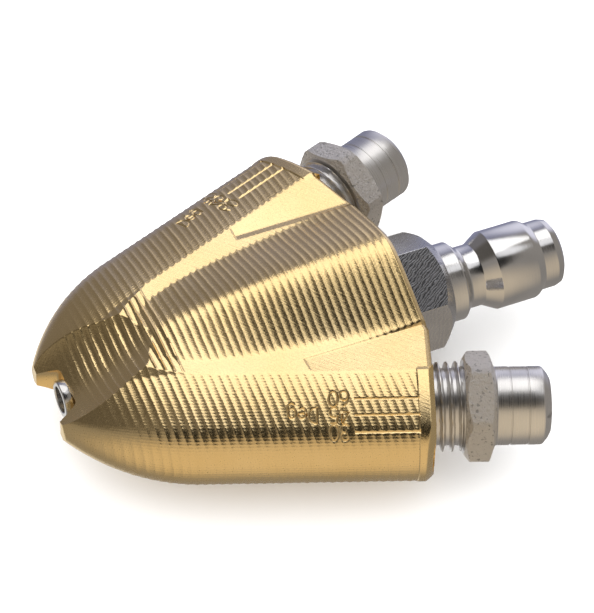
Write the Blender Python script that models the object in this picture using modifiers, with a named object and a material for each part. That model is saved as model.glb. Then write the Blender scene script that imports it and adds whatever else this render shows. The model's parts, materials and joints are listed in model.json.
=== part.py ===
"""Three-way jetting nozzle head: a milled brass body that splits one inlet into two rear
fan jets and one front jet.

Frame: +Z up, nose towards -Y, inlet plug towards +Y, origin under the middle of the
bounding box on the resting face. The three bores lie in one level plane.
"""
import math

import bmesh
import bpy
from mathutils import Matrix, Vector

MM = 0.001

# Overall layout, in millimetres
AXIS_Z = 12.0            # height of the plane that holds all three bores
NOSE_Y = -41.6           # front face of the body
PLUG_TIP_Y = 41.6        # end of the inlet plug
REAR_Y = 13.6            # rear face of the middle of the body
SPLAY = math.radians(20.85)   # angle of each rear jet to the centre line
PORT = (22.0, 10.6)      # where a rear bore's axis leaves the body (x, y)

# Side lobes: their upper half section is two arcs, and an ogive closes them at the nose
FLAT_Z = 8.5             # milled flats between the lobes, above the bore plane
LOBE_SIDE_R = 6.6
LOBE_SIDE_OFF = 5.5      # centre of the side arc, outward of the bore axis
LOBE_WIDTH = LOBE_SIDE_OFF + LOBE_SIDE_R
CREASE = math.radians(10.0)   # slope of the lobe where it leaves the flat
INNER_SLOPE = 0.45       # rise of the lobe surface inward of its crest line
OGIVE_R = 34.0
OGIVE_START = -33.9      # along the rear bore's axis, from its port
OGIVE_FALL = 10.87

# Middle hump, nose trough, recessed pads
HUMP_H = 5.4
HUMP_W = 13.9            # half width at the rear, and how fast it narrows
HUMP_TAPER = 0.12
HUMP_LEN = 40.3
HUMP_CREST = 0.2         # roundness of the crest, and of the foot, as shares of the half width
HUMP_FOOT = 0.10
TROUGH_Y = -25.95        # where the trough starts to cut into the flats
TROUGH_SLOPE = 0.515
TROUGH_R = 15.0
PAD_Y = -6.2             # front edge of the recessed pads
PAD_X = 13.0
PAD_DEPTH = 0.15
EDGE = 0.7               # chamfer round the rear faces

# Bores
PORT_R = 7.1             # quarter inch taper thread, as a plain bore
PORT_DEPTH = 9.0
GALLERY_R = 4.0          # middle gallery from the inlet to the nose
GALLERY_END_Y = -31.0
SIDE_R = 2.5             # rear galleries, from the rear ports to the middle one
SIDE_END = -46.0         # along the rear bore's axis, from its port
POCKET_R = (5.2, 4.3)    # nose pocket at the nose plane and at its floor
POCKET_Y = -38.35
JET_BORE_R = 1.95
JET_BORE_Y = -33.0
JET_FACE_Y = -39.8       # mouth of the front jet
JET_COLLAR_R = 2.9
JET_COLLAR_T = 1.25
JET_SHANK_R = 1.65

# Taper thread of the plug and the rear jets
PITCH = 1.411
THREAD_R = 6.8
THREAD_DEPTH = 1.0
TAPER = 1.0 / 32.0
THREAD_IN = 6.2          # length inside the port

# Rear jets, along their axis from the port face
HEX_START = 4.8
JET_LAND = (5.65, 8.55)    # full width of the hexagon
JET_HEX_AF = 14.9
JET_LAND_R = 8.3
BARREL_R = 5.85
JET_END = 17.55
JET_INLET_R = 3.2
ORIFICE_R = 0.8
SLOT_DEPTH = 1.5
REST_MARK = math.radians(30.0)    # fan slot's angle above the bore plane
HEX_TURN = {"left": math.radians(1.5), "right": math.radians(8.0)}   # corners, from the slot
RIGHT_JET_SEAT = -1.0             # the right jet is screwed in this much further

PLUG_HEX_AF = 16.5
PLUG_HEX_R = 9.5
PLUG_BORE_R = 3.4
TAPE_T = 0.15

STEPS = 24               # segments of a turned piece
ROWS = 34
HUMP_COLS, WEB_COLS, LOBE_COLS = 6, 2, 9


# ---------------------------------------------------------------- scene helpers
def clear_scene():
    for obj in list(bpy.data.objects):
        bpy.data.objects.remove(obj, do_unlink=True)


def new_collection(name):
    collection = bpy.data.collections.new(name)
    bpy.context.scene.collection.children.link(collection)
    return collection


def make_material(name, colour, roughness, metallic):
    material = bpy.data.materials.new(name)
    material.use_nodes = True
    shader = material.node_tree.nodes["Principled BSDF"]
    shader.inputs["Base Color"].default_value = (*colour, 1.0)
    shader.inputs["Roughness"].default_value = roughness
    shader.inputs["Metallic"].default_value = metallic
    return material


def add_object(name, mesh, collection, material=None, matrix=None):
    obj = bpy.data.objects.new(name, mesh)
    collection.objects.link(obj)
    if material:
        mesh.materials.append(material)
    if matrix:
        obj.matrix_world = matrix
    return obj


def mesh_from(bm, name):
    mesh = bpy.data.meshes.new(name)
    bm.to_mesh(mesh)
    bm.free()
    return mesh


def smooth(mesh, angle=30.0):
    mesh.shade_smooth()
    mesh.set_sharp_from_angle(angle=math.radians(angle))


def axis_matrix(x, y, angle, roll=0.0):
    """Local +Z along a bore that points to the rear, turned outward by angle; mm in the plane."""
    place = Matrix.Translation((x * MM, y * MM, AXIS_Z * MM))
    return (place @ Matrix.Rotation(-angle, 4, "Z") @ Matrix.Rotation(-math.pi / 2, 4, "X")
            @ Matrix.Rotation(roll, 4, "Z"))


def turned(name, profile, collection, material, matrix, steps=STEPS):
    """Closed profile of (radius, height) in mm, outer side from the top down, then the bore."""
    bm = bmesh.new()
    points = [bm.verts.new((r * MM, 0.0, z * MM)) for r, z in profile]
    for first, second in zip(points, points[1:] + points[:1]):
        bm.edges.new((first, second))
    obj = add_object(name, mesh_from(bm, name), collection, material, matrix)
    screw = obj.modifiers.new("turn", "SCREW")
    screw.steps = screw.render_steps = steps
    screw.use_merge_vertices = True
    screw.merge_threshold = 0.00001
    screw.use_smooth_shade = True
    return obj


def cylinder_cutter(name, radius, start, end, collection, matrix, steps=STEPS, end_radius=None):
    """Cylinder along local Z, or a cone where its end has a radius of its own."""
    bm = bmesh.new()
    middle = Matrix.Translation((0.0, 0.0, (start + end) / 2 * MM))
    bmesh.ops.create_cone(bm, cap_ends=True, segments=steps, radius1=radius * MM,
                          radius2=(end_radius or radius) * MM, depth=(end - start) * MM,
                          matrix=middle)
    return as_cutter(add_object(name, mesh_from(bm, name), collection, None, matrix))


def as_cutter(obj):
    obj.hide_render = True
    obj.display_type = "WIRE"
    return obj


def cut(obj, cutter, operation="DIFFERENCE"):
    modifier = obj.modifiers.new(cutter.name, "BOOLEAN")
    modifier.operation = operation
    modifier.object = cutter
    modifier.solver = "EXACT"


def prism_mesh(name, outline, low, high):
    """Straight prism: outline of (a, b) in mm in the local XY plane, from low to high in Z."""
    bm = bmesh.new()
    base = [bm.verts.new((a * MM, b * MM, low * MM)) for a, b in outline]
    face = bm.faces.new(base)
    grown = bmesh.ops.extrude_face_region(bm, geom=[face])["geom"]
    top = [item for item in grown if isinstance(item, bmesh.types.BMVert)]
    bmesh.ops.translate(bm, verts=top, vec=(0.0, 0.0, (high - low) * MM))
    bmesh.ops.recalc_face_normals(bm, faces=bm.faces)
    return mesh_from(bm, name)


def hex_outline(across_flats, turn=0.0):
    corner = across_flats / math.sqrt(3.0)
    return [(corner * math.cos(turn + i * math.pi / 3), corner * math.sin(turn + i * math.pi / 3))
            for i in range(6)]


# ---------------------------------------------------------------- body surface
def lobe_top(off):
    """Height of a full-size lobe above the bore plane, at a distance outward of its crest."""
    if off <= 0.0:
        return FLAT_Z - INNER_SLOPE * off
    gap = LOBE_SIDE_OFF ** 2 + FLAT_Z ** 2 - LOBE_SIDE_R ** 2
    radius = gap / (2 * (FLAT_Z * math.cos(CREASE) - LOBE_SIDE_OFF * math.sin(CREASE)
                         - LOBE_SIDE_R))
    centre = (-radius * math.sin(CREASE), FLAT_Z - radius * math.cos(CREASE))
    reach = Vector((LOBE_SIDE_OFF - centre[0], -centre[1])).normalized() * radius
    if off < centre[0] + reach.x:
        return centre[1] + math.sqrt(radius ** 2 - (off - centre[0]) ** 2)
    return math.sqrt(max(0.0, LOBE_SIDE_R ** 2 - (off - LOBE_SIDE_OFF) ** 2))


def lobe_scale(along):
    """Size of the lobe's section: an ogive at the nose, a chamfer at the port face."""
    scale = 1.0
    if along < OGIVE_START:
        run = min(OGIVE_R, OGIVE_START - along)
        scale -= (OGIVE_R - math.sqrt(OGIVE_R ** 2 - run ** 2)) / OGIVE_FALL
    scale -= max(0.0, along + EDGE) / LOBE_WIDTH
    return max(scale, 0.05)


def lobe_point(hat, y):
    """Point (x, z) of the lobe's skin on the plane at y, for a place hat on the full section."""
    scale = 1.0
    for _ in range(30):
        off = hat * scale
        along = (y - PORT[1]) / math.cos(SPLAY) + off * math.tan(SPLAY)
        scale = lobe_scale(along)
    x = PORT[0] + (y - PORT[1]) * math.tan(SPLAY) + off / math.cos(SPLAY)
    return x, scale * lobe_top(hat)


def trough(x, y):
    return FLAT_Z - TROUGH_SLOPE * (TROUGH_Y - y) + x * x / (2 * TROUGH_R)


def hump_width(y):
    """Half width of the middle hump: a slow taper that closes in a blunt tip at the nose end."""
    run = max(0.0, REAR_Y - y)
    return max(0.5, HUMP_W - HUMP_TAPER * run) * math.sqrt(max(0.01, 1.0 - (run / (HUMP_LEN + 2)) ** 8))


def hump(x, y):
    """Straight flanks between a rounded crest and a rounded foot."""
    height = HUMP_H * max(0.0, 1.0 - ((REAR_Y - y) / HUMP_LEN) ** 2) ** 0.9
    across = math.hypot(x / hump_width(y), HUMP_CREST)
    rise = (1.0 - across) / (1.0 - HUMP_CREST)
    rise = (rise + math.hypot(rise, HUMP_FOOT)) / 2 - HUMP_FOOT / 8
    return FLAT_Z + height * max(0.0, rise)


def rear_kink():
    """Where the square rear face meets the slanted one."""
    return PORT[0] - (REAR_Y - PORT[1]) / math.tan(SPLAY)


def rear_y(x):
    return min(REAR_Y, PORT[1] - (x - PORT[0]) * math.tan(SPLAY))


def inner_top(x, y):
    """Height of the surface between the lobes, with the chamfer at the rear faces."""
    height = min(hump(x, y), trough(x, y))
    square = REAR_Y - y
    slanted = (rear_y(max(x, rear_kink())) - y) * math.cos(SPLAY)
    return height - max(0.0, EDGE - min(square, slanted))


def lobe_start(y):
    """The innermost place on the lobe's section that shows above the flats and the trough."""
    if y > TROUGH_Y and y > PORT[1] + OGIVE_START:
        return 0.0
    low, high = -8.0, LOBE_WIDTH
    for _ in range(40):
        middle = (low + high) / 2
        x, z = lobe_point(middle, y)
        if z > min(FLAT_Z, trough(x, y)):
            low = middle
        else:
            high = middle
    return high


def rail(hat, stretch):
    """A lobe point on the grid row that lies a share of the way from the nose to the rear."""
    y = NOSE_Y + (REAR_Y - NOSE_Y) * stretch
    for _ in range(20):
        x, z = lobe_point(hat, y)
        y = NOSE_Y + (rear_y(x) - NOSE_Y) * stretch
    return Vector((x, y, z))


def row_points(stretch):
    """One row of the body's upper skin, from the middle out to the widest line."""
    y = NOSE_Y + (REAR_Y - NOSE_Y) * stretch
    start = lobe_start(y)
    for _ in range(6):
        start = lobe_start(rail(start, stretch).y)
    edge = rail(start, stretch)
    foot = min(hump_width(edge.y), edge.x * 0.72)
    foot = max(foot, edge.x * 0.5)
    if stretch >= ROW_STRETCHES[-2]:
        foot = rear_kink()
    places = [foot * i / HUMP_COLS for i in range(HUMP_COLS)]
    places += [foot + (edge.x - foot) * i / WEB_COLS for i in range(WEB_COLS)]
    points = []
    for x in places:
        y = NOSE_Y + (rear_y(x) - NOSE_Y) * stretch
        points.append(Vector((x, y, inner_top(x, y))))
    for i in range(LOBE_COLS + 1):
        turn = i / LOBE_COLS * math.pi / 2
        points.append(rail(start + (LOBE_WIDTH - start) * math.sin(turn), stretch))
    points[-1].z = 0.0
    return points


def row_stretches():
    plain = [i / (ROWS - 3) for i in range(ROWS - 2)]
    chamfer = 1.0 - EDGE / (REAR_Y - NOSE_Y)
    return plain[:-1] + [chamfer, 1.0]


ROW_STRETCHES = row_stretches()


def body_mesh():
    """The whole skin: the upper quarter mirrored to the left and to the underside."""
    rows = [row_points(stretch) for stretch in ROW_STRETCHES]
    bm = bmesh.new()

    def skin(side, up):
        return [[bm.verts.new((side * p.x * MM, p.y * MM, (AXIS_Z + up * p.z) * MM))
                 for p in row] for row in rows]

    quarters = {(side, up): skin(side, up) for side in (1, -1) for up in (1, -1)}
    for (side, up), grid in quarters.items():
        for near, far in zip(grid, grid[1:]):
            for i in range(len(near) - 1):
                ring = [near[i], near[i + 1], far[i + 1], far[i]]
                bm.faces.new(ring if side * up > 0 else ring[::-1])
    split = HUMP_COLS
    for grid_end, flip in ((0, False), (-1, True)):
        right_up, right_low = quarters[1, 1][grid_end], quarters[1, -1][grid_end]
        left_up, left_low = quarters[-1, 1][grid_end], quarters[-1, -1][grid_end]
        loops = [left_up[split::-1] + right_up[1:split + 1] + right_low[split::-1]
                 + left_low[1:split + 1],
                 right_up[split:] + right_low[:split - 1:-1],
                 left_low[split:] + left_up[:split - 1:-1]]
        for loop in loops:
            bm.faces.new(loop[::-1] if flip else loop)
    bmesh.ops.remove_doubles(bm, verts=bm.verts, dist=0.000002)
    bmesh.ops.recalc_face_normals(bm, faces=bm.faces)
    mesh = mesh_from(bm, "body")
    smooth(mesh)
    return mesh


def make_body(parts, cutters, material):
    body = add_object("body", body_mesh(), parts, material)
    middle = axis_matrix(0.0, 0.0, 0.0)
    cut(body, cylinder_cutter("inlet_port", PORT_R, REAR_Y - PORT_DEPTH, REAR_Y + 2, cutters, middle))
    cut(body, cylinder_cutter("gallery", GALLERY_R, GALLERY_END_Y, REAR_Y, cutters, middle))
    cut(body, cylinder_cutter("jet_bore", JET_BORE_R, NOSE_Y - 2, JET_BORE_Y, cutters, middle))
    cut(body, cylinder_cutter("jet_feed", 1.4, GALLERY_END_Y - 3, GALLERY_END_Y + 3, cutters, middle,
                              12))
    flare = (POCKET_R[0] - POCKET_R[1]) / (POCKET_Y - NOSE_Y)
    cut(body, cylinder_cutter("nose_pocket", POCKET_R[0] + 2 * flare, NOSE_Y - 2, POCKET_Y, cutters,
                              middle, STEPS, POCKET_R[1]))
    base = prism_mesh("base_land", [(-20, NOSE_Y), (20, NOSE_Y), (20, 20), (-20, 20)], -6.0, 0.0)
    cut(body, as_cutter(add_object("base_land", base, cutters)))
    for side, label in ((1, "left"), (-1, "right")):
        bore = axis_matrix(side * PORT[0], PORT[1], side * SPLAY)
        cut(body, cylinder_cutter(f"port_{label}", PORT_R, -PORT_DEPTH, 2, cutters, bore))
        cut(body, cylinder_cutter(f"side_gallery_{label}", SIDE_R, SIDE_END, 0, cutters, bore, 16))
    for side, label in ((1, "left"), (-1, "right")):
        outline = [(side * PAD_X, PAD_Y)]
        outline += [(side * (PORT[0] + (y - PORT[1]) * math.tan(SPLAY)), y)
                    for y in (PAD_Y, REAR_Y + 6)]
        outline += [(side * PAD_X, REAR_Y + 6)]
        pad = prism_mesh(f"pad_{label}", outline, AXIS_Z + FLAT_Z - PAD_DEPTH, AXIS_Z + FLAT_Z + 3)
        cut(body, as_cutter(add_object(f"pad_{label}", pad, cutters)))
    return body


# ---------------------------------------------------------------- turned pieces
def thread_profile(start, end):
    """Crests and roots of the taper thread from the hexagon down to its small end."""
    points = []
    z = start
    while z - PITCH > end:
        crest = THREAD_R - (start - z) * TAPER
        points += [(crest - THREAD_DEPTH, z), (crest, z - PITCH / 2)]
        z -= PITCH
    points += [(crest - THREAD_DEPTH, z), (crest - THREAD_DEPTH, end)]
    return points


def hex_cutter(name, across_flats, start, end, collection, matrix, turn=0.0):
    """A ring with a hexagonal hole, which leaves six flats on what it cuts."""
    ring = add_object(name, prism_mesh(name, hex_outline(24.0 / math.cos(math.pi / 6)), start, end),
                      collection, None, matrix)
    hole = add_object(f"{name}_hole", prism_mesh(f"{name}_hole", hex_outline(across_flats, turn),
                                                 start - 1, end + 1), collection, None, matrix)
    cut(ring, as_cutter(hole))
    return as_cutter(ring)


def make_plug(parts, cutters, material):
    matrix = axis_matrix(0.0, 0.0, 0.0)
    front = REAR_Y + 0.3
    profile = [(PLUG_BORE_R, PLUG_TIP_Y), (4.3, PLUG_TIP_Y), (5.1, PLUG_TIP_Y - 0.4),
               (5.38, PLUG_TIP_Y - 1.2), (5.38, 37.9), (6.1, 36.9), (6.2, 36.6), (6.2, 30.3),
               (4.88, 27.9), (4.88, 25.7), (6.17, 24.5), (6.17, 21.9), (6.9, 21.9),
               (PLUG_HEX_R, 19.6), (PLUG_HEX_R, front + 0.6), (8.2, front)]
    profile += thread_profile(front, REAR_Y - THREAD_IN) + [(PLUG_BORE_R, REAR_Y - THREAD_IN)]
    plug = turned("inlet_plug", profile, parts, material, matrix)
    cut(plug, hex_cutter("plug_hex", PLUG_HEX_AF, front - 0.2, 21.6, cutters, matrix,
                         math.pi / 2))
    return plug


def jet_profile():
    """A rear jet: orifice end at the top, then barrel, hexagon and taper thread."""
    bore_low = -THREAD_IN
    profile = [(ORIFICE_R, JET_END - 0.6), (2.6, JET_END), (3.8, JET_END), (5.1, 17.1),
               (BARREL_R, 16.4), (BARREL_R, 9.5), (JET_LAND_R, JET_LAND[1]),
               (JET_LAND_R, JET_LAND[0]), (THREAD_R, HEX_START)]
    profile += thread_profile(HEX_START, bore_low)
    profile += [(JET_INLET_R, bore_low), (JET_INLET_R, 9.0), (ORIFICE_R, 13.0)]
    return profile


def make_rear_jet(side, label, parts, cutters, materials):
    seat = RIGHT_JET_SEAT if side < 0 else 0.0
    x = side * PORT[0] + side * seat * math.sin(SPLAY)
    y = PORT[1] + seat * math.cos(SPLAY)
    roll = REST_MARK if side > 0 else math.pi - REST_MARK
    matrix = axis_matrix(x, y, side * SPLAY, -roll)
    jet = turned(f"rear_jet_{label}", jet_profile(), parts, materials["steel"], matrix)
    cut(jet, hex_cutter(f"jet_hex_{label}", JET_HEX_AF, HEX_START + 0.1, 9.4, cutters, matrix,
                        HEX_TURN[label]))
    notch = prism_mesh(f"fan_slot_{label}", [(-1.1, 0.6), (1.1, 0.6), (0.0, -SLOT_DEPTH)], -9, 9)
    stand = matrix @ Matrix.Translation((0, 0, JET_END * MM)) @ Matrix.Rotation(math.pi / 2, 4, "X")
    turn = Matrix.Rotation(math.pi / 2, 4, "Y")
    cut(jet, as_cutter(add_object(f"fan_slot_{label}", notch, cutters, None, stand @ turn)))

    fin = prism_mesh(f"vane_{label}", [(-2.85, -0.3), (2.85, -0.3), (2.85, 0.3), (-2.85, 0.3)],
                     -5.6, 2.4)
    vane = add_object(f"stream_straightener_{label}", fin, parts, materials["vane"], matrix)
    cross = add_object(f"vane_cross_{label}", fin.copy(), cutters, None,
                       matrix @ Matrix.Rotation(math.pi / 2, 4, "Z"))
    cut(vane, as_cutter(cross), "UNION")
    make_tape(f"thread_tape_{label}", HEX_START, -THREAD_IN + 0.4, -1.2, matrix, parts,
              materials["tape"])


def make_tape(name, thread_start, low, high, matrix, parts, material):
    """Sealing tape round the crests of the thread, as one thin sleeve."""
    inner = THREAD_R - (thread_start - high) * TAPER + 0.06
    turned(name, [(inner + TAPE_T, high), (inner + TAPE_T, low), (inner, low), (inner, high)],
           parts, material, matrix)


def make_front_jet(parts, material, tape):
    """Small screwed jet in the nose: local +Z points to the rear, so its mouth is the low end."""
    matrix = axis_matrix(0.0, 0.0, 0.0)
    face, inner, seat = JET_FACE_Y, JET_BORE_Y - 0.4, JET_FACE_Y + JET_COLLAR_T
    profile = [(ORIFICE_R, inner), (JET_SHANK_R - 0.3, inner), (JET_SHANK_R, inner - 0.4),
               (JET_SHANK_R, seat), (JET_COLLAR_R, seat), (JET_COLLAR_R, face + 0.15),
               (JET_COLLAR_R - 0.15, face), (2.1, face), (2.1, face + 0.5), (ORIFICE_R, face + 1.2)]
    turned("front_jet", profile, parts, material, matrix)
    sleeve = JET_SHANK_R + 0.07
    profile = [(sleeve + 0.12, inner - 0.8), (sleeve + 0.12, POCKET_Y + 0.4),
               (sleeve, POCKET_Y + 0.4), (sleeve, inner - 0.8)]
    turned("thread_tape_front", profile, parts, tape, matrix)


# ---------------------------------------------------------------- build
def main():
    clear_scene()
    parts = new_collection("jetting_nozzle")
    cutters = new_collection("cutters")
    brass = make_material("brass", (0.80, 0.60, 0.28), 0.32, 1.0)
    materials = {
        "steel": make_material("jet_steel", (0.55, 0.53, 0.50), 0.35, 1.0),
        "vane": make_material("vane_steel", (0.60, 0.59, 0.57), 0.40, 1.0),
        "tape": make_material("thread_tape", (0.86, 0.86, 0.84), 0.60, 0.0),
    }
    make_body(parts, cutters, brass)
    make_plug(parts, cutters, make_material("plug_steel", (0.62, 0.61, 0.59), 0.25, 1.0))
    make_front_jet(parts, make_material("front_jet_steel", (0.62, 0.61, 0.59), 0.25, 1.0),
                   materials["tape"])
    for side, label in ((1, "left"), (-1, "right")):
        make_rear_jet(side, label, parts, cutters, materials)
    make_tape("thread_tape_inlet", REAR_Y + 0.3, REAR_Y - THREAD_IN + 0.4, REAR_Y - 1.2,
              axis_matrix(0.0, 0.0, 0.0), parts, materials["tape"])


main()
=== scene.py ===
"""Looks of the three-way jetting nozzle head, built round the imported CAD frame.

The shape functions work in millimetres, in the frame's own axes: nose towards -Y, inlet plug
towards +Y, bores in the level plane BORE_Z. Meshes are scaled to metres when they are made.
"""
import json
import math

import bmesh
import bpy
import numpy as np
from mathutils import Matrix, Vector


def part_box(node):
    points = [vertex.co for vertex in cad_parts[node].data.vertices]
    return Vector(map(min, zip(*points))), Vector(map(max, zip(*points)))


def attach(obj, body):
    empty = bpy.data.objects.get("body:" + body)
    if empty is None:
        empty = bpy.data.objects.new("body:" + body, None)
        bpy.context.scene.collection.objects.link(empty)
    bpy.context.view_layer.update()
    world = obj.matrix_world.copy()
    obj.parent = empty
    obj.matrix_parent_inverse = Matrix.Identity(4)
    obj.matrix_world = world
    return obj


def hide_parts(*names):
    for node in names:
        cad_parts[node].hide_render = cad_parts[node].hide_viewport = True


MM = 0.001

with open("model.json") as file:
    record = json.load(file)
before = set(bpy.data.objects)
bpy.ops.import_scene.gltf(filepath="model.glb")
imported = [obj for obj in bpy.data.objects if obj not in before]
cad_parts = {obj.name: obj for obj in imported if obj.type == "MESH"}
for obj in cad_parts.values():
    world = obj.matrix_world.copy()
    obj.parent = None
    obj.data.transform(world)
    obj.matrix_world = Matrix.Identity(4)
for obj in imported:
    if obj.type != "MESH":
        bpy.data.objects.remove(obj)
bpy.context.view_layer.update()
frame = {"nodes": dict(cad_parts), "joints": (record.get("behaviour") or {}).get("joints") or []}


def box_mm(node):
    """Low and high corner of a CAD node, in millimetres."""
    low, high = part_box(node)
    return np.array(low) / MM, np.array(high) / MM


# ---------------------------------------------------------------- sizes taken from the frame
JOINTS = {joint["name"]: joint for joint in frame["joints"]}
LEFT_HINGE = JOINTS["left_fan_turn"]
SPLAY = math.atan2(-LEFT_HINGE["axis"][0], -LEFT_HINGE["axis"][1])
PORT_X, PORT_Y, BORE_Z = (value / MM for value in LEFT_HINGE["pos_m"])
NOSE_Y = box_mm("body")[0][1]
REAR_Y = box_mm("body")[1][1]
LAND_Z = box_mm("body")[0][2] - BORE_Z
PLUG_TIP_Y = box_mm("inlet_plug")[1][1]
JET_FACE_Y = box_mm("front_jet")[0][1]

# Side lobes: two arcs in section, closed by an ogive at the nose (as in the CAD part)
FLAT_Z = 8.5
SIDE_R, SIDE_OFF = 6.6, 5.5
LOBE_WIDTH, LOBE_INNER = SIDE_R + SIDE_OFF, -8.0
CREASE = math.radians(10.0)
INNER_SLOPE = 0.45
OGIVE_R, OGIVE_START, OGIVE_FALL = 34.0, -33.9, 10.87

# Middle hump, nose trough, recessed pads
HUMP_H, HUMP_W, HUMP_TAPER, HUMP_LEN = 5.2, 13.7, 0.15, 40.3
HUMP_CREST, HUMP_FOOT = 0.2, 0.11
TROUGH_Y, TROUGH_SLOPE, TROUGH_R = NOSE_Y + 15.65, 0.515, 15.0
PAD_X, PAD_Y = 13.0, NOSE_Y + 35.4
PAD_DEPTH, PAD_WALL = {1: 0.14, -1: 0.40}, {1: 0.18, -1: 1.2}   # by side: left, right
PAD_STEP = 0.24                # run of the pad's front edge
EDGE = 0.7                     # chamfer round the rear faces

# Drillings, each cut from the face it opens in
PORT_R, PORT_DEPTH = 7.1, 9.0
GALLERY_R, GALLERY_STOP, SIDE_DRILL_R, SIDE_DRILL_LENGTH = 4.0, 10.6, 2.5, 46.0
JET_BORE_LENGTH, FEED_R, FEED_SPAN = 8.6, 1.4, (7.0, 13.0)
OVERRUN = 2.0                  # how far a cutter stands out of the face

# Nose pocket and front jet
POCKET_R, POCKET_Y, JET_BORE_R = (5.2, 4.3), NOSE_Y + 3.25, 1.95
POCKET_ROUND = 0.7

# Tool marks on the milled body
RIDGE_PITCH, RIDGE_H = 1.17, 0.11
CROSS_PITCH, CROSS_H = 0.49, 0.018
RIDGE_SHARE, TROUGH_SHARE = 0.66, 1.3    # of RIDGE_H: on the hump and lobes, and in the trough
FRONT_SHARE = 1.9              # added to the share at the hump's front
RIDGE_SINK = 0.10              # taken off the hump's skin, so that its ridges fade out in points
REAR_RIM = 1.8                 # smooth strip in front of the rear face
BAND, BAND_STEP, BAND_LIFT = 2.3, 0.14, 0.15    # smooth rim in front of each port face
GROOVE_DEPTH, GROOVE_W, GROOVE_LIFT, GROOVE_STEP = 0.11, 0.17, 0.30, 0.8

# Mesh density, and the bend in degrees beyond which an edge stays sharp
ROWS, HUMP_COLS, WEB_COLS, LOBE_COLS = 470, 64, 26, 132
SECTION_STEPS = 800
SHARP_BODY, SHARP_TURNED, SHARP_NOSE_JET = 40.0, 28.0, 30.0


# ---------------------------------------------------------------- small helpers
def ease(low, high, value):
    """0 below low, 1 above high, smooth between; works on arrays."""
    t = np.clip((value - low) / (high - low), 0.0, 1.0)
    return t * t * (3.0 - 2.0 * t)


def mesh_object(name, points, faces, material=None, matrix=None):
    """Mesh object from points in millimetres; matrix places it, in metres."""
    mesh = bpy.data.meshes.new(name)
    mesh.from_pydata((np.asarray(points) * MM).tolist(), [], faces)
    obj = bpy.data.objects.new(name, mesh)
    bpy.context.scene.collection.objects.link(obj)
    if matrix is not None:
        mesh.transform(matrix)
    if material:
        mesh.materials.append(material)
    return obj


def apply_modifiers(obj):
    """Bakes the modifiers into the mesh, so that the piece is plain geometry."""
    depsgraph = bpy.context.evaluated_depsgraph_get()
    mesh = bpy.data.meshes.new_from_object(obj.evaluated_get(depsgraph))
    obj.modifiers.clear()
    old = obj.data
    obj.data = mesh
    bpy.data.meshes.remove(old)


def face_outward(obj, merge=0.0):
    """Points every face outward; merge also joins points closer than that, in metres."""
    bm = bmesh.new()
    bm.from_mesh(obj.data)
    if merge:
        bmesh.ops.remove_doubles(bm, verts=bm.verts, dist=merge)
        bmesh.ops.dissolve_degenerate(bm, dist=merge / 2, edges=bm.edges)
    bmesh.ops.recalc_face_normals(bm, faces=bm.faces)
    bm.to_mesh(obj.data)
    bm.free()


def cut(obj, cutters, angle):
    """Takes the cutters away from obj, in one pass, and keeps edges sharp where they bend."""
    group = bpy.data.collections.new("cutters")
    bpy.context.scene.collection.children.link(group)
    for cutter in cutters:
        bpy.context.scene.collection.objects.unlink(cutter)
        group.objects.link(cutter)
    modifier = obj.modifiers.new("cut", "BOOLEAN")
    modifier.operation = "DIFFERENCE"
    modifier.operand_type = "COLLECTION"
    modifier.collection = group
    modifier.solver = "MANIFOLD"
    bpy.context.view_layer.update()
    apply_modifiers(obj)
    for cutter in cutters:
        bpy.data.objects.remove(cutter, do_unlink=True)
    bpy.data.collections.remove(group)
    shade(obj, angle)


def shade(obj, angle):
    """Smooth shading, with an edge kept sharp where it bends by more than angle degrees."""
    obj.data.shade_smooth()
    obj.data.set_sharp_from_angle(angle=math.radians(angle))


def repaint(obj, matrix, span, radius, material):
    """Gives the faces round one stretch of the axis, outside radius, another material."""
    obj.data.materials.append(material)
    turned = matrix.inverted()
    for face in obj.data.polygons:
        place = turned @ face.center / MM
        if span[0] < place.z < span[1] and math.hypot(place.x, place.y) > radius:
            face.material_index = len(obj.data.materials) - 1


def bore_matrix(x, y, angle, roll=0.0):
    """Local +Z along a bore that points to the rear, turned outward by angle."""
    place = Matrix.Translation((x * MM, y * MM, BORE_Z * MM))
    return (place @ Matrix.Rotation(-angle, 4, "Z") @ Matrix.Rotation(-math.pi / 2, 4, "X")
            @ Matrix.Rotation(roll, 4, "Z"))


MIDDLE = bore_matrix(0.0, 0.0, 0.0)


def lathe(name, profile, steps, material=None, matrix=None, shape=None):
    """Closed ring of (radius, height) turned about local Z; shape(radius, height, angle) edits it."""
    ring = np.array(profile, float)
    angles = np.arange(steps) * 2 * math.pi / steps
    radius = np.repeat(ring[:, :1], steps, axis=1)
    height = np.repeat(ring[:, 1:], steps, axis=1)
    turn = np.broadcast_to(angles, radius.shape)
    if shape:
        radius = shape(radius, height, turn)
    points = np.stack([radius * np.cos(turn), radius * np.sin(turn), height], -1).reshape(-1, 3)
    index = np.arange(len(points)).reshape(radius.shape)
    below, beside = np.roll(index, -1, 0), np.roll(index, -1, 1)
    faces = np.stack([index, below, np.roll(below, -1, 1), beside], -1).reshape(-1, 4)
    return mesh_object(name, points, faces.tolist(), material, matrix)


def rod(name, radius, start, end, matrix, steps=96):
    """Solid cylinder along local Z, used as a cutter."""
    points = [(radius * math.cos(a), radius * math.sin(a), z) for z in (start, end)
              for a in (2 * math.pi * i / steps for i in range(steps))]
    faces = [(i, (i + 1) % steps, (i + 1) % steps + steps, i + steps) for i in range(steps)]
    faces += [tuple(range(steps))[::-1], tuple(range(steps, 2 * steps))]
    return mesh_object(name, points, faces, None, matrix)


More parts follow.
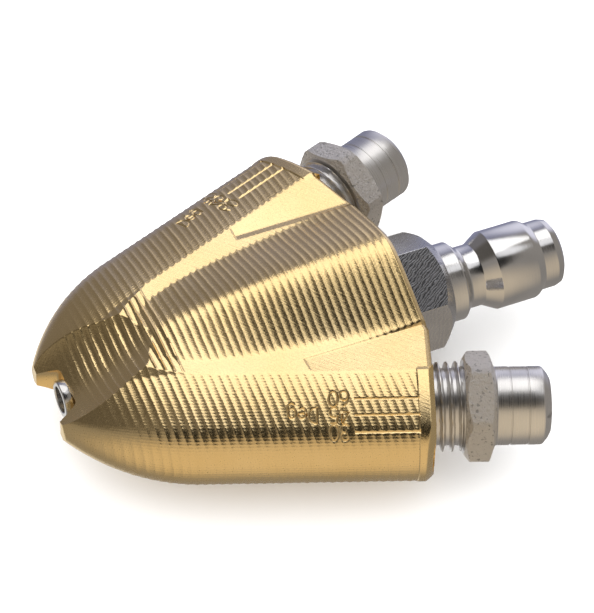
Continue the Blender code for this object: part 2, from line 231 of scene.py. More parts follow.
def prism(name, outline, low, high, matrix):
    """Straight prism of an outline in local XY, from low to high in Z, used as a cutter."""
    count = len(outline)
    points = [(a, b, z) for z in (low, high) for a, b in outline]
    faces = [(i, (i + 1) % count, (i + 1) % count + count, i + count) for i in range(count)]
    faces += [tuple(range(count))[::-1], tuple(range(count, 2 * count))]
    return mesh_object(name, points, faces, None, matrix)


def rounded(points, corners, steps=4):
    """Profile with an arc of the given radius at each index in corners."""
    result = []
    for i, point in enumerate(points):
        if i not in corners:
            result.append(point)
            continue
        here = Vector(point)
        to_last = (Vector(points[i - 1]) - here).normalized()
        to_next = (Vector(points[(i + 1) % len(points)]) - here).normalized()
        half = to_last.angle(to_next) / 2
        reach = corners[i] / math.tan(half)
        centre = here + (to_last + to_next).normalized() * corners[i] / math.sin(half)
        first = here + to_last * reach - centre
        last = here + to_next * reach - centre
        for k in range(steps + 1):
            arm = first.lerp(last, k / steps).normalized() * corners[i]
            result.append(tuple(centre + arm))
    return result


# ---------------------------------------------------------------- body surface
def lobe_top(off):
    """Height of a full-size lobe above the bore plane, by distance outward of its crest."""
    gap = SIDE_OFF ** 2 + FLAT_Z ** 2 - SIDE_R ** 2
    radius = gap / (2 * (FLAT_Z * math.cos(CREASE) - SIDE_OFF * math.sin(CREASE) - SIDE_R))
    centre = np.array([-radius * math.sin(CREASE), FLAT_Z - radius * math.cos(CREASE)])
    reach = np.array([SIDE_OFF, 0.0]) - centre
    meet = centre[0] + reach[0] / np.linalg.norm(reach) * radius
    broad = centre[1] + np.sqrt(np.maximum(0.0, radius ** 2 - (off - centre[0]) ** 2))
    side = np.sqrt(np.maximum(0.0, SIDE_R ** 2 - (off - SIDE_OFF) ** 2))
    return np.where(off <= 0.0, FLAT_Z - INNER_SLOPE * off, np.where(off < meet, broad, side))


def section():
    """Places across a full-size lobe, from its inner side outward, and the skin length to each."""
    places = np.linspace(LOBE_INNER, LOBE_WIDTH, SECTION_STEPS)
    steps = np.hypot(np.diff(places), np.diff(lobe_top(places)))
    return places, np.concatenate([[0], np.cumsum(steps)])


def edge_drop(distance, size):
    """How far the skin falls inward near a rear face: a chamfer with eased ends."""
    run = np.clip(1.0 - distance / size, 0.0, 1.0)
    return size * (0.75 * run + 0.25 * run ** 2)


def lobe_scale(along, hat):
    """Share of the full lobe section left: it shrinks towards the nose and at the port face."""
    run = np.clip(OGIVE_START - along, 0.0, OGIVE_R)
    scale = 1.0 - (OGIVE_R - np.sqrt(OGIVE_R ** 2 - run ** 2)) / OGIVE_FALL
    size = EDGE + EDGE * ease(8.0, LOBE_WIDTH, hat)
    return np.maximum(scale - edge_drop(-along, size) / LOBE_WIDTH, 0.05)


def rear_kink():
    """Distance from the middle at which the square rear face turns into a slanted port face."""
    return PORT_X - (REAR_Y - PORT_Y) / math.tan(SPLAY)


def rear_y(x):
    """Where the body ends at the rear, by distance from the middle."""
    return np.minimum(REAR_Y, PORT_Y - (x - PORT_X) * math.tan(SPLAY))


def rail(hat, stretch):
    """Skin points of the lobe: hat is the place on the full section, stretch runs nose to rear."""
    hat, stretch = np.broadcast_arrays(np.asarray(hat, float), np.asarray(stretch, float))
    y = NOSE_Y + (REAR_Y - NOSE_Y) * stretch
    scale = np.ones_like(hat)
    for _ in range(60):
        off = hat * scale
        along = (y - PORT_Y) / math.cos(SPLAY) + off * math.tan(SPLAY)
        scale = lobe_scale(along, hat)
        x = PORT_X + (y - PORT_Y) * math.tan(SPLAY) + off / math.cos(SPLAY)
        y = NOSE_Y + (rear_y(x) - NOSE_Y) * stretch
    return np.stack([x, y, scale * lobe_top(hat)], -1), along


def trough(x, y):
    """Hollow that slopes down to the nose between the lobes."""
    return FLAT_Z - TROUGH_SLOPE * (TROUGH_Y - y) + x * x / (2 * TROUGH_R)


def hump_width(y):
    """Half width of the middle hump: a slow taper that closes in a blunt tip at the nose end."""
    run = np.maximum(0.0, REAR_Y - y)
    blunt = np.sqrt(np.maximum(0.01, 1.0 - (run / (HUMP_LEN + 2)) ** 8))
    return np.maximum(0.5, HUMP_W - HUMP_TAPER * run) * blunt


def hump_rise(x, y):
    """Straight flanks between a rounded crest and a rounded foot."""
    height = HUMP_H * np.maximum(0.0, 1.0 - ((REAR_Y - y) / HUMP_LEN) ** 2) ** 0.9
    rise = (1.0 - np.hypot(x / hump_width(y), HUMP_CREST)) / (1.0 - HUMP_CREST)
    rise = (rise + np.hypot(rise, HUMP_FOOT)) / 2 - HUMP_FOOT / 8
    return height * np.maximum(0.0, rise)


def arc_of(place):
    """Skin length from the lobe's inner side to a place across it."""
    return np.interp(place, *section())


def lobe_start(stretch):
    """For each row, the innermost place on the lobe that shows above the flats and the trough."""
    low, high = np.full_like(stretch, LOBE_INNER), np.full_like(stretch, LOBE_WIDTH)
    for _ in range(34):
        middle = (low + high) / 2
        point, _ = rail(middle, stretch)
        shown = point[:, 2] > np.minimum(FLAT_Z, trough(point[:, 0], point[:, 1]))
        low, high = np.where(shown, middle, low), np.where(shown, high, middle)
    return high


def cusps(place, pitch):
    """Rows of hollow cutter passes: 0 in the middle of a pass, 1 at the ridge between two."""
    t = place / pitch - np.floor(place / pitch)
    return (2 * t - 1) ** 2


def ragged(place, seed):
    """Slow, small wander, so that no two cutter passes are quite alike."""
    return 0.5 * np.sin(place * 1.7 + seed) + 0.3 * np.sin(place * 4.1 + 2 * seed)


# ---------------------------------------------------------------- engraved fan-angle scale
def arc_points(cx, cy, rx, ry, start, end, steps=14):
    """Points on an ellipse from one angle to another, in degrees."""
    return [(cx + rx * math.cos(math.radians(start + (end - start) * i / steps)),
             cy + ry * math.sin(math.radians(start + (end - start) * i / steps)))
            for i in range(steps + 1)]


GLYPHS = {   # strokes in a box 1 wide and 1.6 high
    "0": [arc_points(0.5, 0.8, 0.5, 0.8, 0, 360, 24)],
    "3": [arc_points(0.45, 1.2, 0.45, 0.4, 150, -90), arc_points(0.45, 0.42, 0.5, 0.42, 90, -150)],
    "4": [[(0.78, 0.0), (0.78, 1.6), (0.0, 0.5), (1.05, 0.5)]],
    "5": [[(0.92, 1.6), (0.15, 1.6), (0.08, 0.85)] + arc_points(0.45, 0.5, 0.5, 0.5, 130, -140)],
    "6": [arc_points(0.5, 0.48, 0.46, 0.48, 0, 360, 20), arc_points(0.75, 0.6, 0.72, 1.0, 180, 100)],
    "D": [[(0.0, 0.0), (0.0, 1.6)] + arc_points(0.1, 0.8, 0.85, 0.8, 90, -90) + [(0.0, 0.0)]],
    "e": [[(0.05, 0.55), (0.92, 0.55)] + arc_points(0.5, 0.52, 0.45, 0.52, 5, 310)],
    "g": [arc_points(0.45, 0.52, 0.42, 0.5, 0, 360, 18),
          [(0.9, 1.0), (0.9, 0.0)] + arc_points(0.48, -0.1, 0.42, 0.4, 0, -150)],
}
DIGIT_H, DIGIT_W, DIGIT_STEP = 2.45, 1.30, 1.55
MARKS = {"60": 4.47, "45": 6.92, "30": 9.29}     # place of each mark on the lobe's section
MARK_SPAN = (-11.8, -2.2)
NUMBER_AT, UNIT_AT = -12.6, -17.2


def text_strokes(text, start, middle, outward):
    """Strokes of a line of text in (along the bore, round the lobe), read from the port end."""
    width = (len(text) - 1) * DIGIT_STEP + DIGIT_W
    start = start if outward > 0 else start - width
    strokes = []
    for i, char in enumerate(text):
        for stroke in GLYPHS[char]:
            strokes.append([(start - outward * (i * DIGIT_STEP + u * DIGIT_W),
                             middle + outward * (v - 0.8) * DIGIT_H / 1.6) for u, v in stroke])
    return strokes


def scale_strokes(outward):
    """The three marks, their numbers and the unit; outward is -1 where the text faces inward."""
    strokes = []
    for text, place in MARKS.items():
        middle = arc_of(place)
        strokes.append([(MARK_SPAN[0], middle), (MARK_SPAN[1], middle)])
        strokes += text_strokes(text, NUMBER_AT, middle, outward)
    strokes += text_strokes("Deg", UNIT_AT, arc_of(MARKS["45"]), outward)
    return strokes


def lobe_place(along, arc, side):
    """Point and outward normal on the full-size lobe, along the bore and round the section."""
    places, arcs = section()
    slopes = np.gradient(lobe_top(places), places)
    off, slope = np.interp(arc, arcs, places), np.interp(arc, arcs, slopes)
    across = np.array([math.cos(SPLAY), -math.sin(SPLAY), 0.0])
    ahead = np.array([math.sin(SPLAY), math.cos(SPLAY), 0.0])
    point = np.array([PORT_X, PORT_Y, BORE_Z]) + along * ahead + off * across
    point[2] += float(lobe_top(np.array(off)))
    normal = -slope * across + np.array([0.0, 0.0, 1.0])
    mirror = np.array([side, 1.0, 1.0])
    return point * mirror, normal / np.linalg.norm(normal) * mirror


def groove(stroke, side):
    """A V-shaped cutter swept along a stroke on the lobe."""
    dense = [stroke[0]]
    for first, last in zip(stroke, stroke[1:]):
        count = max(1, round(math.dist(first, last) / GROOVE_STEP))
        dense += [tuple(np.array(first) + (np.array(last) - first) * k / count)
                  for k in range(1, count + 1)]
    closed = math.dist(dense[0], dense[-1]) < 0.01
    dense = dense[:-1] if closed else dense
    places = [lobe_place(along, arc, side) for along, arc in dense]
    spots = np.array([place[0] for place in places])
    normals = np.array([place[1] for place in places])
    if closed:
        run = np.roll(spots, -1, 0) - np.roll(spots, 1, 0)
    else:
        run = np.gradient(spots, axis=0)
    sides = np.cross(run, normals)
    sides /= np.linalg.norm(sides, axis=1, keepdims=True)
    flare = GROOVE_W * (GROOVE_LIFT + GROOVE_DEPTH) / GROOVE_DEPTH
    rings = np.stack([spots + normals * GROOVE_LIFT + sides * flare,
                      spots - normals * GROOVE_DEPTH,
                      spots + normals * GROOVE_LIFT - sides * flare], 1)
    count = len(spots)
    faces = [(3 * i + a, 3 * i + (a + 1) % 3, 3 * ((i + 1) % count) + (a + 1) % 3,
              3 * ((i + 1) % count) + a) for i in range(count if closed else count - 1)
             for a in range(3)]
    if not closed:
        faces += [(2, 1, 0), (3 * count - 3, 3 * count - 2, 3 * count - 1)]
    cutter = mesh_object("cut_mark", rings.reshape(-1, 3), faces)
    face_outward(cutter)
    return cutter


# ---------------------------------------------------------------- body mesh
def grid_base(stretch):
    """Upper quarter of the skin before tool marks, with each column's place on the lobe."""
    start = lobe_start(stretch)
    edge, _ = rail(start, stretch)
    foot = np.minimum(hump_width(edge[:, 1]), edge[:, 0] * 0.72)
    foot = np.maximum(foot, edge[:, 0] * 0.5)
    for blend, place in ((ease(PAD_Y - 4.0, PAD_Y - 0.3, edge[:, 1]), PAD_X),
                         (ease(0.985, 1.0, stretch), rear_kink())):
        foot = foot * (1 - blend) + place * blend
    foot, wall = foot[:, None], foot[:, None] + PAD_WALL[1]
    share = np.linspace(0, 1, HUMP_COLS, endpoint=False)
    web = np.linspace(0, 1, WEB_COLS - 1, endpoint=False)
    x = np.concatenate([foot * share, foot, wall + (edge[:, :1] - wall) * web], 1)
    y = NOSE_Y + (rear_y(x) - NOSE_Y) * stretch[:, None]
    turn = np.sin(np.linspace(0, math.pi / 2, LOBE_COLS + 1))
    hat = start[:, None] + (LOBE_WIDTH - start)[:, None] * turn
    lobe, along = rail(hat, stretch[:, None])
    return x, y, hat, lobe, along


def outward_normals(points):
    """Unit normals of a grid of points on the upper skin, level along its last column."""
    rows, cols = np.gradient(points, axis=0), np.gradient(points, axis=1)
    normal = np.cross(rows, cols)
    normal *= np.sign(normal[..., 2:3] + 1e-12)
    normal[:, -1, 2] = 0.0
    return normal / np.linalg.norm(normal, axis=-1, keepdims=True)


def skin_quarter(stretch, base, side, land):
    """One quarter of the skin with its tool marks; land cuts the underside level for resting."""
    x, y, hat, lobe, along = base

    def ridges(px, py, height):
        """Cutter passes across the body, each a little different from the last."""
        return RIDGE_H * height * (1 + 0.25 * ragged(py, 1.0)) * cusps(
            py + 0.03 * ragged(px, 0.0), RIDGE_PITCH)

    def inner_height(px, py):
        rise = hump_rise(px, py)
        rim = ease(REAR_Y + 0.1, REAR_Y - REAR_RIM, py)
        deeper = RIDGE_SHARE + FRONT_SHARE * ease(NOSE_Y + 20.0, NOSE_Y + 17.0, py)
        top = FLAT_Z + np.maximum(0.0, rise + (ridges(px, py, deeper) - RIDGE_SINK) * rim)
        nose = TROUGH_SHARE * ease(NOSE_Y + 2, NOSE_Y + 7, py)
        return top, trough(px, py) + ridges(px, py, nose)

    top, valley = inner_height(x, y)
    z = np.minimum(top, valley)
    pad = ease(PAD_X - 0.1, PAD_X + PAD_WALL[side], x) * ease(PAD_Y, PAD_Y + PAD_STEP, y)
    crest_x = PORT_X + (y - PORT_Y) * math.tan(SPLAY)
    depth = 0.02 + PAD_DEPTH[side] * np.clip((crest_x - x) / (crest_x - PAD_X), 0.0, 1.0)
    z = z + (FLAT_Z - depth - z) * pad
    square = REAR_Y - y
    slanted = (rear_y(np.maximum(x, rear_kink())) - y) * math.cos(SPLAY)
    z -= edge_drop(np.minimum(square, slanted), EDGE)

    normal = outward_normals(lobe)
    on_arc = arc_of(hat)
    inside = ease(-BAND, -BAND - BAND_STEP, along)
    cut_zone = inside * ease(NOSE_Y + 1.0, NOSE_Y + 14, lobe[..., 1])
    marks = ridges(on_arc, lobe[..., 1], RIDGE_SHARE) + CROSS_H * cusps(
        on_arc + 0.03 * ragged(lobe[..., 1], 5.0), CROSS_PITCH)
    band = 1 - inside
    push = cut_zone * marks + BAND_LIFT * band
    lobe = lobe + normal * push[..., None]
    lobe_flat = np.where(lobe[..., 1] > PAD_Y, FLAT_Z - 0.02, FLAT_Z) + BAND_LIFT * band
    ceiling = np.minimum(lobe_flat, inner_height(lobe[..., 0], lobe[..., 1])[1])
    lobe[..., 2] = np.minimum(lobe[..., 2], ceiling)
    lobe[:, -1, 2] = 0.0
    points = np.concatenate([np.stack([x, y, z], -1), lobe], 1)
    points[0, :, 1] = NOSE_Y
    if land:
        points[..., 2] = np.minimum(points[..., 2], -LAND_Z)
    return points


def body_skin(material):
    """All four quarters of the skin, with the nose and rear faces, as one closed mesh."""
    stretch = np.linspace(0.0, 1.0, ROWS)
    base = grid_base(stretch)
    points, faces, index = [], [], {}
    count = 0
    for side, up in ((1, 1), (-1, 1), (1, -1), (-1, -1)):
        grid = skin_quarter(stretch, base, side, up < 0) * (side, 1, up)
        number = np.arange(grid.shape[0] * grid.shape[1]).reshape(grid.shape[:2]) + count
        count += number.size
        points.append(grid.reshape(-1, 3) + (0, 0, BORE_Z))
        index[side, up] = number
        ring = np.stack([number[:-1, :-1], number[:-1, 1:], number[1:, 1:], number[1:, :-1]], -1)
        ring = ring.reshape(-1, 4)
        faces += (ring if side * up > 0 else ring[:, ::-1]).tolist()
    split = HUMP_COLS
    for end, flip in ((0, False), (-1, True)):
        ru, rl = index[1, 1][end].tolist(), index[1, -1][end].tolist()
        lu, ll = index[-1, 1][end].tolist(), index[-1, -1][end].tolist()
        loops = [lu[split:0:-1] + ru[:split + 1] + rl[split:0:-1] + ll[:split + 1],
                 ru[split:] + rl[-2:split - 1:-1],
                 ll[split:] + lu[-2:split - 1:-1]]
        faces += [loop[::-1] if flip else loop for loop in loops]
    obj = mesh_object("milled_body", np.concatenate(points), faces, material)
    face_outward(obj, merge=0.002 * MM)
    return obj


def make_body(material):
    """The milled body with its drillings, nose pocket and engraved scale."""
    obj = body_skin(material)
    rear = bore_matrix(0.0, REAR_Y, 0.0)
    nose = bore_matrix(0.0, NOSE_Y, 0.0)
    span = REAR_Y - NOSE_Y
    cutters = [rod("cut_inlet", PORT_R, -PORT_DEPTH, OVERRUN, rear),
               rod("cut_gallery", GALLERY_R, -span + GALLERY_STOP, 0, rear, 48),
               rod("cut_jet", JET_BORE_R, -OVERRUN, JET_BORE_LENGTH, nose, 48),
               rod("cut_feed", FEED_R, *FEED_SPAN, nose, 24)]
    floor, flare = POCKET_Y - NOSE_Y, (POCKET_R[0] - POCKET_R[1]) / (POCKET_Y - NOSE_Y)
    pocket = [(1.0, floor), (POCKET_R[1], floor), (POCKET_R[0] + OVERRUN * flare, -OVERRUN),
              (1.0, -OVERRUN)]
    cutters.append(lathe("cut_pocket", rounded(pocket, {1: POCKET_ROUND}, 8), 96, None, nose))
    for side in (1, -1):
        bore = bore_matrix(side * PORT_X, PORT_Y, side * SPLAY)
        cutters += [rod("cut_port", PORT_R, -PORT_DEPTH, OVERRUN, bore),
                    rod("cut_side", SIDE_DRILL_R, -SIDE_DRILL_LENGTH, 0.0, bore, 32)]
        cutters += [groove(stroke, side) for stroke in scale_strokes(side)]
    cut(obj, cutters, SHARP_BODY)
    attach(obj, "head")
    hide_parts("body")


# ---------------------------------------------------------------- rear jets
PITCH, THREAD_R, THREAD_DEPTH, TAPER = 1.411, 6.8, 1.0, 1.0 / 32.0
THREAD_IN, RUN_OUT, RUN_IN = 6.2, 0.5, 1.2      # below the face; fading ends, shoulder and inner
ORIFICE_R, JET_INLET_R = 0.8, 3.2
HEX_START, JET_HEX_AF = 4.8, 14.9
JET_LAND = (5.65, 8.55)
BARREL_R, JET_END = 5.85, 17.75
REST_MARK = math.radians(30.0)
SEAT = {"left": 0.0, "right": -1.0}
HEX_TURN = {"left": math.radians(1.5), "right": math.radians(8.0)}


def thread_shape(start, end):
    """A true helix cut into every row that lies on the thread, fading out at both ends."""
    def shape(radius, height, turn):
        on_thread = (radius > 5.5) & (height < start + 0.01) & (height > end - 0.01)
        phase = (height - PITCH * turn / (2 * math.pi)) / PITCH
        wave = np.abs(phase - np.round(phase)) * 2
        profile = ease(0.10, 0.66, wave)
        depth = THREAD_DEPTH * profile
        shoulder, inner = ease(start, start - RUN_OUT, height), ease(end, end + RUN_IN, height)
        crest = THREAD_R - (start - height) * TAPER
        cut_in = depth * (shoulder * inner) + 0.75 * (1 - shoulder) + 0.8 * (1 - inner)
        return np.where(on_thread, crest - np.minimum(cut_in, THREAD_DEPTH), radius)
    return shape


def thread_rows(start, end, step=0.094):
    """Profile rows close enough together to carry the helix, from the shoulder inward."""
    count = int((start - end) / step)
    return [(6.0, start - (start - end) * i / count) for i in range(count + 1)]


def hex_ring(across_flats, low, high, matrix, turn):
    """Cutters that leave a hexagon: six blocks, one beyond each flat."""
    blocks = []
    for i in range(6):
        facing = matrix @ Matrix.Rotation(turn + (i + 0.5) * math.pi / 3, 4, "Z")
        inner = across_flats / 2
        outline = [(inner, -12), (inner + 8, -12), (inner + 8, 12), (inner, 12)]
        blocks.append(prism("cut_hex", outline, low, high, facing))
    return blocks


def make_rear_jet(label, side, materials):
    """A spray tip: barrel, hexagon, threaded shank, inner bore and the fan slot across its end."""
    seat = SEAT[label]
    x = side * (PORT_X + seat * math.sin(SPLAY))
    y = PORT_Y + seat * math.cos(SPLAY)
    roll = -REST_MARK if side > 0 else REST_MARK - math.pi
    matrix = bore_matrix(x, y, side * SPLAY, roll)
    outer = [(ORIFICE_R, JET_END - 0.75), (1.6, JET_END - 0.1), (4.15, JET_END - 0.05), (4.9, 17.3),
             (BARREL_R - 0.12, 16.6), (BARREL_R, 16.3), (BARREL_R, 14.42), (BARREL_R - 0.12, 14.36),
             (BARREL_R - 0.12, 14.24), (BARREL_R - 0.03, 14.18), (BARREL_R - 0.03, 11.82),
             (BARREL_R - 0.12, 11.76), (BARREL_R - 0.12, 11.64), (BARREL_R, 11.58), (BARREL_R, 9.5),
             (8.3, JET_LAND[1]), (8.3, JET_LAND[0]), (7.05, HEX_START)]
    outer = rounded(outer, {3: 0.35, 14: 0.3, 15: 0.2, 16: 0.2})
    inner = [(JET_INLET_R, -THREAD_IN), (JET_INLET_R, 9.0), (ORIFICE_R, 13.0)]
    thread = thread_rows(HEX_START - 0.02, -THREAD_IN)
    jet = lathe(f"spray_tip_{label}", outer + thread + inner, 96, materials[label], matrix,
                thread_shape(HEX_START - 0.02, -THREAD_IN))
    notch = prism("cut_fan", [(-0.75, 0.7), (0.75, 0.7), (0.1, -0.9), (-0.1, -0.9)], -9, 9,
                  matrix @ Matrix.Translation((0, 0, JET_END * MM))
                  @ Matrix.Rotation(math.pi / 2, 4, "X") @ Matrix.Rotation(math.pi / 2, 4, "Y"))
    flats = hex_ring(JET_HEX_AF, HEX_START + 0.15, 9.45, matrix, HEX_TURN[label])
    cut(jet, flats + [notch], SHARP_TURNED)
    repaint(jet, matrix, (HEX_START, 9.4), 5.9, materials["hex"])
    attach(jet, f"{label}_jet")
    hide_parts(f"rear_jet_{label}")


# ---------------------------------------------------------------- inlet plug and front jet
PLUG_HEX_AF, PLUG_HEX_R, PLUG_BORE_R = 16.5, 9.5, 3.4


def make_plug(materials):
    """The quick-connect inlet plug, with its locking neck, hexagon and threaded shank."""
    front = REAR_Y + 0.3
    tip = PLUG_TIP_Y
    profile = [(PLUG_BORE_R, tip - 0.3), (PLUG_BORE_R + 0.3, tip), (4.3, tip), (5.1, tip - 0.5),
               (5.38, tip - 1.4), (5.38, 37.9), (6.05, 36.95), (6.2, 36.5), (6.2, 30.3),
               (4.88, 28.0), (4.88, 25.7), (6.17, 24.5), (6.17, 21.95), (6.9, 21.9),
               (PLUG_HEX_R, 19.6), (PLUG_HEX_R, front + 0.5), (8.6, front)]
    profile = rounded(profile, {4: 0.5, 5: 0.3, 8: 0.25, 9: 0.5, 10: 0.5, 11: 0.3, 12: 0.15, 14: 0.2})
    end = REAR_Y - THREAD_IN
    thread = thread_rows(front - 0.02, end)
    plug = lathe("coupler_plug", profile + thread + [(PLUG_BORE_R, end)], 128, materials["plug"],
                 MIDDLE, thread_shape(front - 0.02, end))
    cut(plug, hex_ring(PLUG_HEX_AF, front - 0.15, 21.7, MIDDLE, math.pi / 2), SHARP_TURNED)
    repaint(plug, MIDDLE, (front, 21.85), 7.5, materials["plug_hex"])
    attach(plug, "head")
    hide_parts("inlet_plug")


def make_front_jet(materials):
    """The small turned insert in the nose pocket."""
    face, inner, seat = JET_FACE_Y, NOSE_Y + 8.2, JET_FACE_Y + 1.25
    profile = [(ORIFICE_R, inner), (1.35, inner), (1.65, inner - 0.4), (1.65, seat), (2.85, seat),
               (2.9, seat - 0.1), (2.9, face + 0.12), (2.75, face), (2.15, face),
               (2.05, face + 0.15), (2.05, face + 0.95), (ORIFICE_R, face + 1.15)]
    profile = rounded(profile, {6: 0.06, 7: 0.06, 8: 0.06})
    jet = lathe("nose_jet", profile, 96, materials["front"], MIDDLE)
    shade(jet, SHARP_NOSE_JET)
    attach(jet, "head")
    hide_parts("front_jet")


# ---------------------------------------------------------------- materials
def put(tree, value, socket):
    """Links another node's output to a socket, or sets the socket to a constant."""
    if isinstance(value, bpy.types.NodeSocket):
        tree.links.new(value, socket)
    else:
        socket.default_value = value


def mix_colours(tree, share, first, second):
    """Colour between first, at share 0, and second, at share 1."""
    node = tree.nodes.new("ShaderNodeMix")
    node.data_type = "RGBA"
    put(tree, share, node.inputs[0])
    put(tree, first, node.inputs[6])
    put(tree, second, node.inputs[7])
    return node.outputs[2]


class Nodes:
    """Short calls for building a material's node tree."""

    def __init__(self, name):
        self.material = bpy.data.materials.new(name)
        self.material.use_nodes = True
        self.tree = self.material.node_tree
        self.shader = self.tree.nodes["Principled BSDF"]

    def add(self, kind, inputs=None, **settings):
        """New node; inputs are sockets or constants by name, settings are its properties."""
        node = self.tree.nodes.new(kind)
        for key, value in settings.items():
            setattr(node, key, value)
        for key, value in (inputs or {}).items():
            self.put(value, node.inputs[key])
        return node

    def put(self, value, socket):
        put(self.tree, value, socket)

    def place(self, scale=(1.0, 1.0, 1.0), turn=0.0):
        """Object coordinates turned about Z, then multiplied by scale."""
        coordinates = self.add("ShaderNodeTexCoord")
        mapping = self.add("ShaderNodeMapping", {"Vector": coordinates.outputs["Object"]},
                           vector_type="TEXTURE")
        mapping.inputs["Scale"].default_value = tuple(1.0 / value for value in scale)
        mapping.inputs["Rotation"].default_value = (0.0, 0.0, turn)
        return mapping.outputs[0]

    def noise(self, where, scale, detail=4.0, roughness=0.6):
        return self.add("ShaderNodeTexNoise", {"Vector": where, "Scale": scale, "Detail": detail,
                                               "Roughness": roughness}).outputs["Fac"]

    def ramp(self, value, low, high, out_low=0.0, out_high=1.0):
        return self.add("ShaderNodeMapRange", {"Value": value, "From Min": low, "From Max": high,
                                               "To Min": out_low, "To Max": out_high}).outputs[0]

    def mix(self, share, first, second):
        return mix_colours(self.tree, share, first, second)

    def bump(self, height, strength, distance, normal=None):
        inputs = {"Height": height, "Strength": strength, "Distance": distance}
        if normal is not None:
            inputs["Normal"] = normal
        return self.add("ShaderNodeBump", inputs).outputs[0]


def brass_material():
    """Milled brass: a satin speckle crossed by fine slanting cutter marks."""
    n = Nodes("milled_brass")
    n.shader.inputs["Metallic"].default_value = 1.0
    wander = n.noise(n.place(), 60.0, 3.0)
    speck = n.noise(n.place(), 3800.0, 2.0, 0.6)
    grain = n.noise(n.place(), 9000.0, 2.0, 0.6)
    along = n.noise(n.place((5200.0, 260.0, 900.0), math.radians(38)), 1.0, 2.0)
    across = n.noise(n.place((5200.0, 260.0, 900.0), math.radians(-47)), 1.0, 2.0)
    n.put(n.mix(n.ramp(wander, 0.35, 0.65), (0.85, 0.63, 0.30, 1), (0.89, 0.68, 0.36, 1)),
          n.shader.inputs["Base Color"])
    n.put(n.ramp(speck, 0.3, 0.7, 0.16, 0.30), n.shader.inputs["Roughness"])
    fine = n.bump(along, 0.45, 0.00004)
    fine = n.bump(across, 0.40, 0.00004, fine)
    fine = n.bump(speck, 0.25, 0.00003, fine)
    n.put(n.bump(grain, 0.30, 0.00001, fine), n.shader.inputs["Normal"])
    return n.material


def turned_steel(name, tint, low, high, turn=0.0):
    """Bright steel with fine rings about its long axis."""
    n = Nodes(name)
    n.shader.inputs["Metallic"].default_value = 1.0
    wander = n.noise(n.place(), 90.0, 3.0)
    rings = n.noise(n.place((60.0, 6000.0, 60.0), turn), 1.0, 3.0, 0.7)
    grain = n.noise(n.place(), 5000.0, 2.0, 0.6)
    darker = tuple(0.86 * c for c in tint[:3]) + (1.0,)
    n.put(n.mix(n.ramp(wander, 0.35, 0.65), darker, tint), n.shader.inputs["Base Color"])
    n.put(n.ramp(rings, 0.3, 0.7, low, high), n.shader.inputs["Roughness"])
    fine = n.bump(rings, 0.45, 0.00002)
    n.put(n.bump(grain, 0.30, 0.00001, fine), n.shader.inputs["Normal"])
    return n.material


def cast_steel(name, tint):
    """The jets' hexagons: rough, faintly pitted faces."""
    n = Nodes(name)
    n.shader.inputs["Metallic"].default_value = 1.0
    rough = n.noise(n.place(), 1500.0, 5.0, 0.7)
    pits = n.noise(n.place(), 1700.0, 2.0, 0.5)
    pitted = n.ramp(pits, 0.60, 0.68)
    darker = tuple(0.6 * c for c in tint[:3]) + (1.0,)
    n.put(n.mix(pitted, tint, darker), n.shader.inputs["Base Color"])
    n.put(n.ramp(rough, 0.3, 0.7, 0.42, 0.60), n.shader.inputs["Roughness"])
    fine = n.bump(rough, 1.0, 0.0005)
    n.put(n.bump(pitted, -0.60, 0.00010, fine), n.shader.inputs["Normal"])
    return n.material


def milled_steel(name, tint):
    """The plug's hexagon: overlapping swirls from a milling cutter."""
    n = Nodes(name)
    n.shader.inputs["Metallic"].default_value = 1.0
    bent = n.noise(n.place(), 260.0, 1.0)
    swirl = n.add("ShaderNodeTexWave", {"Vector": n.place((1.0, 0.45, 1.0), math.radians(30)),
                                        "Scale": 900.0, "Distortion": 7.0, "Detail": 2.0,
                                        "Detail Scale": 1.4}).outputs["Fac"]
    n.put(n.mix(bent, tuple(0.8 * c for c in tint[:3]) + (1.0,), tint),
          n.shader.inputs["Base Color"])
    n.put(n.ramp(swirl, 0.2, 0.8, 0.16, 0.30), n.shader.inputs["Roughness"])
    n.put(n.bump(swirl, 0.25, 0.00003), n.shader.inputs["Normal"])
    return n.material


def tape_material():
    """White sealing tape with fine folds, and painted shade darkening the hollows of the folds."""
    n = Nodes("sealing_tape")
    n.shader.inputs["Roughness"].default_value = 0.55
    fold_and_shade = n.noise(n.place((200.0, 900.0, 200.0)), 1.0, 3.0)
    # painted shade: the colour goes from white to grey where the folds sink, following the bump's
    # height
    n.put(n.mix(fold_and_shade, (0.78, 0.78, 0.76, 1), (0.92, 0.92, 0.90, 1)), n.shader.inputs["Base Color"])
    n.put(n.bump(fold_and_shade, 0.4, 0.00004), n.shader.inputs["Normal"])
    return n.material


def finish_cad_nodes(tape, vane):
    """The hidden pieces keep their CAD meshes and get finished materials."""
    for name, node in frame["nodes"].items():
        if name.startswith(("thread_tape", "stream_straightener")):
            for slot in node.material_slots:
                slot.material = tape if name.startswith("thread_tape") else vane


